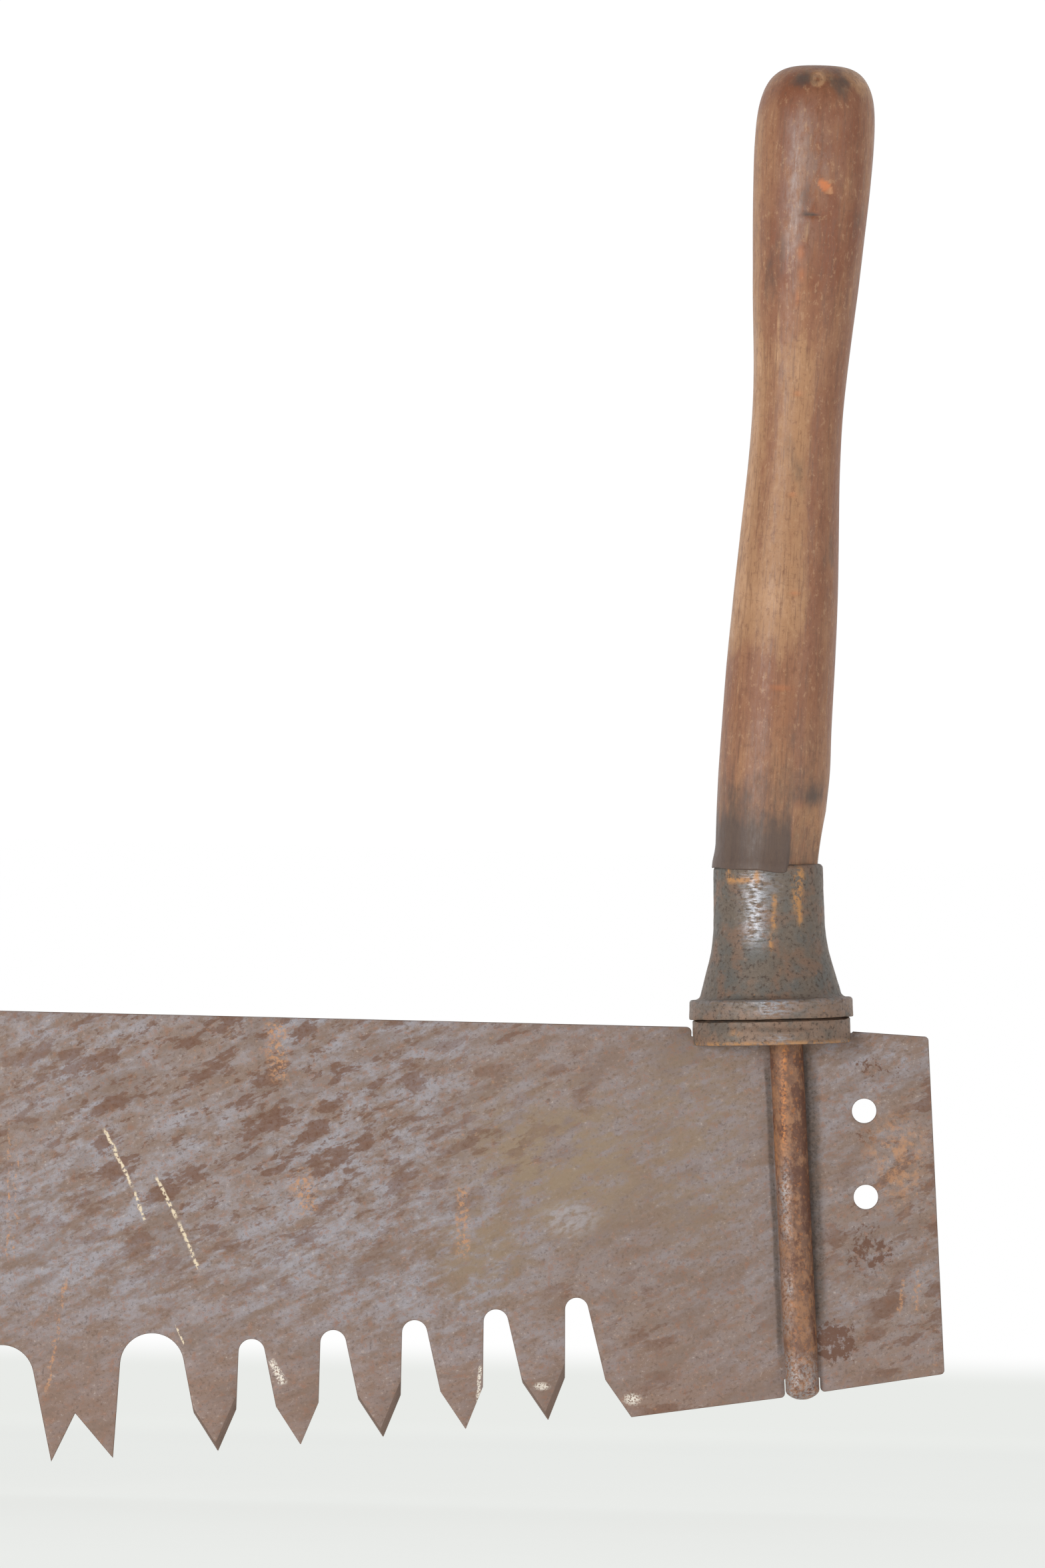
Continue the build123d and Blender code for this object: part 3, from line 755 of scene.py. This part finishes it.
def make_ferrule(side):
    matrix = handle_matrix(side)
    seed = 0.0 if side == "right" else 7.7
    mesh = skin(f"{side}_ferrule_casting", turned(matrix, rounded_outline(FERRULE_PROFILE, 0.8)), wrap=True)

    def lumps(x, y, z):
        rough = 0.10 * ripple(x, y, z, 14, 2, seed) + 0.07 * ripple(x, y, z, 3.2, 3, seed)
        dents = -0.5 * max(0, ripple(x, y, z, 9, 2, seed + 3) - 0.25) * smooth(26, 29, hypot(x, y))
        return rough + dents

    places = roughen(mesh, matrix, lumps)
    rust, rubbed = [], []
    for place in places:
        x, y, z = place / MM
        angle = front_angle(x, y)
        spots = [hump(angle, a, da) * hump(z, h, dh) for a, h, da, dh in FERRULE_RUST[side]]
        rust.append(sum(spots) * 1.3)
        # front is a painted highlight down the ferrule's front, and the rim's share near 1 degree a painted
        # highlight on the flange; centre is a paler patch higher up, and the rest of the rim is paler along
        # its edges.
        front = hump(angle, -16, 13) * smooth(22, 34, z) * smooth(57.5, 54, z)
        centre = hump(angle, 2, 12) * hump(z, 48, 7) * 0.35
        rim = smooth(28.5, 30.6, hypot(x, y)) * (0.12 + 0.2 * hump(z, 6.6, 1) + 0.9 * hump(angle, 1, 11))
        rubbed.append(front + centre + rim * smooth(0.5, 2.5, z))
    paint_all(mesh, places, seed, rust=rust, rubbed=rubbed)
    new_piece(f"{side}_ferrule_casting", mesh, f"{side}_handle", f"{side}_ferrule", IRON)


# -------- saddle
def make_saddle(side):
    matrix = handle_matrix(side)
    seed = 1.9 if side == "right" else 5.3
    mesh = remeshed(f"{side}_saddle")

    def lumps(x, y, z):
        wall = smooth(26.5, 29.0, hypot(x, y))
        angle = front_angle(x, y)
        lobe = smooth(30, 24, angle) * smooth(-3.0 - 0.03 * (angle - 20), -5.2, z) * smooth(-9.6, -8.6, z)
        lip = -0.9 * wall * (1 - lobe) * smooth(-9.4, -8.2, z) * smooth(-85, -70, -abs(angle))
        return lip + 0.10 * ripple(x, y, z, 10, 2, seed) + 0.07 * ripple(x, y, z, 2.6, 3, seed)

    places = roughen(mesh, matrix, lumps)
    rust, rubbed = [], []
    for place in places:
        x, y, z = place / MM
        angle = front_angle(x, y)
        wall = smooth(26.5, 29.0, hypot(x, y))
        rust.append(0.8 * wall * hump(z, -9.2, 0.9) + 0.5 * hump(angle, -28, 5) * hump(z, -5, 1.5))
        # A painted highlight on the saddle's front lip near 4 degrees, and a paler line along its lower edge.
        rubbed.append(wall * (0.9 * hump(angle, 4, 9) * hump(z, -7.2, 1.3) + 0.35 * hump(z, -9.4, 0.6)))
    paint_all(mesh, places, seed, rust=rust, rubbed=rubbed)
    new_piece(f"{side}_saddle_casting", mesh, "blade", f"{side}_saddle", IRON)


# -------- loop rod
ROD_TURN = 1.5                  # degrees between the loop's legs and the handle's screw
ROD_OFFSET = 5.35               # the legs cross the back this far outwards of the screw's axis


def make_loop(side):
    matrix = handle_matrix(side)
    seed = 2.7 if side == "right" else 8.8
    mesh = remeshed(f"{side}_loop_rod")

    def lumps(x, y, z):
        return 0.04 * ripple(x, y, z * 0.6, 11, 2, seed) + 0.05 * ripple(x, y, z, 2.0, 3, seed)

    places = roughen(mesh, matrix, lumps)
    rubbed, streak, maroon = [], [], []
    for place in places:
        x, y, z = place / MM
        across = x - ROD_OFFSET - z * tan(radians(ROD_TURN))
        patchy = ripple(x, y, z, 12, 2, seed + 2)
        # The two strips down the middle of the legs are a painted highlight; the bottom bend and the scattered
        # patches are paler metal.
        rubbed.append(
            0.9 * hump(across, -0.2, 2.2) * hump(z, -66, 10)
            + 0.9 * hump(across, 0.6, 2.0) * smooth(-70, -84, z) * (0.7 + patchy)
            + 0.7 * smooth(-122, -134, z)
            + 0.3 * smooth(0.45, 0.7, patchy)
        )
        streak.append(
            hump(across, -0.6, 1.1) * smooth(-6, -12, z) * smooth(-56, -44, z)
            + 0.8 * hump(across, -4.2, 1.2) * smooth(-30, -60, z)
            + 0.6 * hump(across, 0.2, 1.0) * smooth(-90, -96, z) * smooth(-116, -108, z)
        )
        # Painted shade down the right side of each leg, strongest high up, and a darker band along the left
        # edge higher up.
        shaded = smooth(1.5, 4.0, across) * (0.25 + 0.75 * smooth(-90, -60, z))
        maroon.append(shaded + 0.7 * smooth(-3.5, -5.5, across) * smooth(-60, -40, z))
    paint_all(mesh, places, seed, rubbed=rubbed, streak=streak, maroon=maroon)
    new_piece(f"{side}_loop_forging", mesh, f"{side}_loop", f"{side}_loop_rod", ROD)


# -------- grip
GRIP_PROFILE = [(-8, 20.0), (0, 20.1), (40, 20.9), (100, 19.8), (167, 17.1), (222, 20.3), (268, 22.5),
                (300, 22.0)]
CROWN_START = 268.0
CROWN_HEIGHT = 32.3
CROWN_POWER = 3.4
CROWN_TILT = 0.045              # the worn top slopes up outwards
GRIP_BOW = 0.4                  # the grip's middle lies this far outside a straight axis
TENON_FOOT = 21.0
TENON_RADIUS = 17.4
BORE_RADIUS = 7.2
BORE_TOP = 100.0
NUT_POCKET_HALF = 11.15
NUT_POCKET_CORNER = 15.2
NUT_POCKET_TOP = 31.15
FOOT_RADIUS = 20.1
LIP_DEPTH = 2.4                 # the wood has spread down over the ferrule's rim
LIP_INSIDE = 20.65
LIP_SPREAD = 0.75
RIM_INSIDE = 18.6               # the foot's underside starts here, inside the ferrule's rim
FACETS = ((46.0, 18.0), (88.0, 18.5))   # flats whittled at the foot: degrees from the front, reach
NICK = (13.5, 254.2)            # degrees from the front, height
NICK_RADIUS = 21.3
KNIFE_CUTS = (                  # degrees from the front, height, half spread in degrees
    (-1, 138.8, 5), (1, 66.4, 8), (-1, 60.5, 5), (-2, 176.6, 5), (3, 36, 6), (9, 102, 5),
)


def grip_outline():
    """(height, radius) from the grip's foot to its top."""
    heights = [h * 0.5 for h in range(0, 16)] + [8 + h * 0.95 for h in range(0, 274)]
    outline = [(h, curve_through(GRIP_PROFILE, h)) for h in heights if h < CROWN_START]
    widest = curve_through(GRIP_PROFILE, CROWN_START)
    for k in range(46):
        turn = pi / 2 * k / 46
        height = CROWN_START + CROWN_HEIGHT * sin(turn) ** (2 / CROWN_POWER)
        outline.append((height, widest * cos(turn) ** (2 / CROWN_POWER)))
    return outline


def facet_share(angle, height):
    """How far inside the flats whittled at the grip's foot a point of the surface lies, 0 to 1."""
    return smooth(19, 24, angle) * smooth(114, 108, angle) * smooth(27, 21, height)


def nick_place(angle, height):
    """(along, across) in millimetres from the middle of the slanting nick near the grip's top."""
    u, v = NICK_RADIUS * radians(angle - NICK[0]), height - NICK[1]
    return 0.75 * u - 0.66 * v, 0.66 * u + 0.75 * v


def grip_radius(angle, height, radius, seed):
    """The turned radius with its wear, cuts, dents and knot."""
    a = radians(angle)
    x, y = radius * sin(a), -radius * cos(a)
    worn = radius * (1 + 0.012 * cos(2 * a + 0.8))
    worn += 0.22 * ripple(x, y, height * 0.25, 16, 2, seed) + 0.05 * ripple(x, y, height * 0.08, 2.2, 2, seed)
    worn += 0.5 * hump(angle, 80, 40) * hump(height, 36, 12)
    worn += 0.35 * hump(height, 1.0, 2.2) * (1 - facet_share(angle, height))
    for turn, reach in FACETS:
        if abs(angle - turn) < 60 and height < 40:
            flat = reach + 3.4 * (max(height, 0) / 30) ** 1.7
            worn = min(worn, flat / cos(radians(angle - turn)))
    if seed:
        return worn
    knot = hypot(radius * sin(radians(angle + 3)), height - 295.0)
    worn += 0.35 * cos(knot * 2 * pi / 2.6) * exp(-((knot / 3.2) ** 2))
    along, across = nick_place(angle, height)
    worn -= 0.8 * exp(-((along / 3.8) ** 2) - (across / 2.0) ** 2)
    worn -= 0.7 * hump(angle, 3, 12) * hump(height, 243.6, 0.9)
    worn += 0.35 * hump(angle, 3, 11) * hump(height, 242.0, 0.9)
    worn -= 0.3 * hump(angle, -6, 9) * hump(height, 212, 2.2)
    for turn, level, spread in KNIFE_CUTS:
        worn -= 0.45 * hump(angle, turn, spread) * hump(height, level, 0.7)
    return worn


GRIME_SPOTS = (                 # share, degrees from the front and spread, height and spread
    (0.55, -5, 8, 250, 6), (0.8, 1, 9, 243.7, 0.9), (0.62, -19, 15, 294.5, 4.5), (0.4, 25, 14, 293, 4.5),
)
WORN_SPOTS = ((-3, 237, 3.5, 6), (-30, 203, 2, 5), (-30, 191, 2.5, 3.5), (-4, 272, 1.6, 2.6))


def lip_level(angle, seed):
    """Height of the lower edge of the wood that has spread over the ferrule's rim."""
    wavy = 0.35 * ripple(angle * 0.35, 0, 0, 9, 2, seed)
    return -(LIP_DEPTH + wavy) * (1 - smooth(18, 22, angle) * smooth(122, 114, angle))


def grip_paint(angle, height, x, y, seed):
    """Shares of grime, wear, raw wood and red heartwood at a point of the surface."""
    facet = facet_share(angle, height)
    cloud = ripple(x, y, height * 0.3, 11, 3, seed + 5)
    left = smooth(-150, -110, angle)
    grime = 0.28 * smooth(78, 42, height) + 0.22 * smooth(40, 24, height) + 0.5 * smooth(24, 4, height)
    grime = (grime + 0.12 * cloud) * (1 - 0.55 * facet)
    grime += 0.2 * hump(angle, 46, 14) * hump(height, 27, 5)
    grime += 0.3 * smooth(0.15, 0.6, cloud) * smooth(60, 90, height)
    worn = 0.66 * smooth(40, 4, angle) * left * smooth(62, 94, height) * smooth(214, 184, height)
    worn *= 1 - 0.4 * hump(angle, -34, 13) * hump(height, 155, 45)
    worn += 0.55 * smooth(-48, -64, angle) * left * smooth(66, 96, height) * smooth(296, 276, height)
    worn += 0.3 * smooth(36, 20, angle) * left * hump(height, 100, 12)
    worn += 0.3 * hump(angle, -3, 6) * hump(height, 189, 14) + 0.25 * hump(angle, -1, 5) * hump(height, 76, 8)
    worn += (0.45 + 0.4 * smooth(25, 50, angle)) * smooth(284, 297, height)
    worn += 0.4 * hump(angle, 16, 10) * hump(height, 284, 5)
    worn += 0.32 * smooth(40, 52, angle) * smooth(225, 240, height) * smooth(120, 90, angle)
    red = 0.5 + 0.1 * smooth(5, 45, angle) * smooth(95, 60, angle)
    red = max(red, smooth(200, 222, height) * smooth(-52, -40, angle) * smooth(110, 90, angle))
    red *= (1 - facet) * smooth(30, 60, height)
    worn = max(worn * (1 - facet), 0.5 * facet)
    raw = 0.0
    if not seed:
        for share, turn, spread, level, tall in GRIME_SPOTS:
            grime += share * hump(angle, turn, spread) * hump(height, level, tall)
        grime += 0.22 * hump(height, 293, 4) * smooth(50, 30, abs(angle - 3))
        ring = hypot(21 * radians(angle + 1), height - 294.5)
        worn += 0.7 * hump(ring, 2.1, 0.9) * hump(height, 294.5, 6)
        along, across = nick_place(angle, height)
        nick = smooth(0.3, 0.55, exp(-((along / 3.9) ** 2) - (across / 1.9) ** 2))
        raw = nick * (1 - 0.65 * smooth(0.6, 1.8, along))
        worn += nick * smooth(0.4, 1.4, along)
        for turn, level, share in ((-8, 229, 0.5), (-6, 221, 0.4), (-9, 212, 0.35)):
            raw += share * hump(angle, turn, 3) * hump(height, level, 2.6)
        for turn, level, wide, tall in WORN_SPOTS:
            worn += 0.8 * hump(angle, turn, wide) * hump(height, level, tall)
        for turn, level, wide in ((-1, 138.8, 4), (0, 66.4, 10), (-2, 176.6, 5), (9, 102, 5)):
            raw += 0.45 * hump(angle, turn, wide) * hump(height, level, 0.8)
    smoke = 0.9 * hump(angle, -13, 18) * smooth(215, 238, height) * smooth(292, 276, height)
    smoke += 0.7 * hump(angle, 8, 8) * hump(height, 262, 9)
    smoke += 0.6 * smooth(0.1, 0.5, ripple(x, y, height * 0.3, 22, 2, seed + 9)) * smooth(60, 90, abs(angle))
    return [min(1.0, max(0.0, share)) for share in (grime, worn, raw, red, smoke)]


def square_radius(angle, half, corner):
    """Radius of a square of the given half side at an angle, with its corners limited."""
    a = radians(angle)
    return min(corner, half / max(abs(sin(a)), abs(cos(a))))


def make_grip(side):
    seed = 0.0 if side == "right" else 6.1
    handle, grip = handle_matrix(side), grip_matrix(side)
    angles = [-180 + 360 * k / RING for k in range(RING)]
    rings, paints, places = [], [], []

    def add(matrix, radii, heights, shares):
        ring = []
        for angle, radius, height, share in zip(angles, radii, heights, shares):
            a = radians(angle)
            bow, tilt = 0.0, 0.0
            if matrix is grip:
                bow = GRIP_BOW * hump(height, 170, 80)
                tilt = CROWN_TILT * radius * sin(a) * smooth(CROWN_START, CROWN_START + 24, height)
            local = Vector((radius * sin(a) + bow, -radius * cos(a), height + tilt)) * MM
            ring.append(matrix @ local)
            places.append(local)
            paints.append(share)
        rings.append(ring)

    hidden = [(0.3, 0.0, 0.0, 0.4, 0.0)] * RING
    inner = [(BORE_RADIUS, BORE_TOP), (BORE_RADIUS, 70), (BORE_RADIUS, NUT_POCKET_TOP)]
    rings.append([handle @ Vector((0, 0, BORE_TOP * MM))])
    places.append(Vector((0, 0, BORE_TOP * MM)))
    paints.append(hidden[0])
    for radius, height in inner:
        add(handle, [radius] * RING, [height] * RING, hidden)
    pocket = [square_radius(a, NUT_POCKET_HALF, NUT_POCKET_CORNER) for a in angles]
    for height in (NUT_POCKET_TOP, TENON_FOOT):
        add(handle, pocket, [height] * RING, hidden)
    tenon = [(TENON_RADIUS - 0.5, TENON_FOOT), (TENON_RADIUS, TENON_FOOT + 0.5), (TENON_RADIUS, 40),
             (TENON_RADIUS, FERRULE_HEIGHT + 0.1)]
    for radius, height in tenon:
        add(handle, [radius] * RING, [height] * RING, hidden)

    outline = grip_outline()
    lips = [lip_level(a, seed) for a in angles]
    foot = [(0.9, 0.1, 0.0, 0.3, 0.0)] * RING
    rim = [min(RIM_INSIDE, grip_radius(a, 0, FOOT_RADIUS, seed) - 0.6) for a in angles]
    add(grip, rim, [0.45] * RING, foot)
    spread = [min(1, -level) for level in lips]
    inside = [LIP_INSIDE * k + (grip_radius(a, 0, FOOT_RADIUS, seed) - 0.4) * (1 - k)
              for a, k in zip(angles, spread)]
    add(grip, inside, [0.4 - 0.3 * k for k in spread], foot)
    add(grip, inside, [level + 0.35 for level in lips], foot)
    for share, lift in ((0.35, 0.0), (0.8, 0.12), (1.0, 0.5)):
        radii = [i + (grip_radius(a, 0, FOOT_RADIUS, seed) + LIP_SPREAD * k - i) * share
                 for a, i, k in zip(angles, inside, spread)]
        add(grip, radii, [l + lift for l in lips], foot)
    for height, radius in outline[1:]:
        levels = [height + (l + 0.5) * smooth(6, 0, height) for l in lips]
        radii = [grip_radius(a, height, radius, seed) + (LIP_SPREAD - 0.1) * k * smooth(7, 0, height)
                 for a, k in zip(angles, spread)]
        fade = smooth(301.0, 296.0, height)
        radii = [radius + (r - radius) * (0.25 + 0.75 * fade) for r in radii]
        shares = [grip_paint(a, height, r * sin(radians(a)), -r * cos(radians(a)), seed)
                  for a, r in zip(angles, radii)]
        add(grip, radii, levels, shares)
    top = CROWN_START + CROWN_HEIGHT
    rings.append([grip @ Vector((0, 0, top * MM))])
    places.append(Vector((0, 0, top * MM)))
    paints.append((0.2, 0.4, 0.0, 0.4, 0.2))

    mesh = skin(f"{side}_grip_wood", rings)
    paint_all(mesh, places, seed, **dict(zip(WOOD_PAINTS, zip(*paints))))
    new_piece(f"{side}_grip_wood", mesh, f"{side}_handle", f"{side}_grip", WOOD)


make_blade()
for side in SIDES:
    make_ferrule(side)
    make_saddle(side)
    make_loop(side)
    make_grip(side)
    for name in ("nut", "ferrule_pin"):
        steel = frame["nodes"][f"{side}_{name}"]
        steel.data.materials.clear()
        steel.data.materials.append(STEEL)


# -------- floor, light, camera
FLOOR_GLOW = 0.8                # share of the floor's brightness that shadows can't take away
FLOOR_LIT = (0.45, 0.8)         # metres from the saw, between which the floor stops taking shadows
FLOOR_FADE = (1.3, 1.75)        # metres behind the saw, between which the floor turns white
FLOOR_HALF = 60.0               # metres
FLOOR_GAP = 0.0004              # metres under the lowest tooth
AMBIENT = 0.26                  # light from the room in front
WALL = 1.0                      # light from the white wall behind
AIM = Vector((ROD_X - 100.6, 0, BACK + 89.6)) * MM
CAMERA_DISTANCE = 6.0
VIEW_HEIGHT = 0.588             # seen from the picture's foot to its top, at the saw
SENSOR = 36.0                   # millimetres along the picture's height, its longer side
ROLL = 1.35                     # degrees; the saw's back falls to the right
SOFTBOXES = (                   # name, degrees left of the camera, degrees up, metres away, size, watts
    ("key_light", 33, 3, 2.2, 0.6, 27.5),
    ("fill_light", -48, 8, 2.4, 1.2, 12.0),
)


def make_floor():
    """A wide pale floor that takes the saw's shadow and glows further out, white behind the saw."""
    s = Shader("pale_floor")
    place = s.object_place()
    away = s.axis(place, "Y")
    far = s.step(s.maths("ABSOLUTE", away), *FLOOR_LIT)
    unshaded = s.step(far, 0.0, 1.0, FLOOR_GLOW, 1.0)
    s.colour = s.blend(tone(222, 223, 220), tone(230, 231, 228), s.noise(place, 60, detail=4))
    glow = s.node("Emission")
    plain = s.blend(tone(242, 244, 241), tone(233, 235, 232), far)
    s.link(s.blend(plain, tone(255, 255, 255), s.step(away, *FLOOR_FADE)), glow.inputs["Color"])
    mixed = s.node("MixShader")
    s.link(unshaded, mixed.inputs[0])
    s.link(s.surface.outputs[0], mixed.inputs[1])
    s.link(glow.outputs[0], mixed.inputs[2])
    s.link(mixed.outputs[0], s.tree.nodes["Material Output"].inputs["Surface"])
    s.finish(0.7)
    half, level = FLOOR_HALF, cad_box[0][2] - FLOOR_GAP
    mesh = bpy.data.meshes.new("floor")
    corners = [(-half, -half, level), (half, -half, level), (half, half, level), (-half, half, level)]
    mesh.from_pydata(corners, [], [(0, 1, 2, 3)])
    mesh.materials.append(s.material)
    floor = bpy.data.objects.new("floor", mesh)
    bpy.context.scene.collection.objects.link(floor)


def make_world():
    """Light that grows from the room in front to the wall behind; the camera sees plain white."""
    world = bpy.data.worlds.new("studio")
    world.use_nodes = True
    tree = world.node_tree
    background = tree.nodes["Background"]
    background.inputs["Color"].default_value = (0.97, 0.985, 1.0, 1)
    path = tree.nodes.new("ShaderNodeLightPath")
    direction = tree.nodes.new("ShaderNodeTexCoord")
    split = tree.nodes.new("ShaderNodeSeparateXYZ")
    around = tree.nodes.new("ShaderNodeMapRange")
    around.inputs["From Min"].default_value = -0.1
    around.inputs["From Max"].default_value = 0.5
    around.inputs["To Min"].default_value = AMBIENT
    around.inputs["To Max"].default_value = WALL
    tree.links.new(direction.outputs["Generated"], split.inputs[0])
    tree.links.new(split.outputs["Y"], around.inputs["Value"])
    strength = tree.nodes.new("ShaderNodeMapRange")
    strength.inputs["To Max"].default_value = 1.05
    tree.links.new(around.outputs["Result"], strength.inputs["To Min"])
    tree.links.new(path.outputs["Is Camera Ray"], strength.inputs["Value"])
    tree.links.new(strength.outputs["Result"], background.inputs["Strength"])
    bpy.context.scene.world = world


def softbox(name, turn, rise, distance, size, power):
    """An area light aimed at the view's middle."""
    light = bpy.data.lights.new(name, "AREA")
    light.shape = "SQUARE"
    light.size = size
    light.energy = power
    lamp = bpy.data.objects.new(name, light)
    a, e = radians(turn), radians(rise)
    away = Vector((-sin(a) * cos(e), -cos(a) * cos(e), sin(e)))
    lamp.location = AIM + away * distance
    lamp.rotation_euler = away.to_track_quat("Z", "Y").to_euler()
    bpy.context.scene.collection.objects.link(lamp)


def make_camera():
    data = bpy.data.cameras.new("camera")
    data.sensor_width = SENSOR
    data.lens = SENSOR * CAMERA_DISTANCE / VIEW_HEIGHT
    data.clip_start = 0.01
    camera = bpy.data.objects.new("camera", data)
    camera.location = AIM - Vector((0, CAMERA_DISTANCE, 0))
    level = Matrix.Rotation(pi / 2, 3, "X")
    camera.rotation_euler = (Matrix.Rotation(radians(-ROLL), 3, "Y") @ level).to_euler()
    bpy.context.scene.collection.objects.link(camera)
    bpy.context.scene.camera = camera


make_floor()
make_world()
for settings in SOFTBOXES:
    softbox(*settings)
make_camera()
bpy.context.scene.view_settings.view_transform = "Standard"
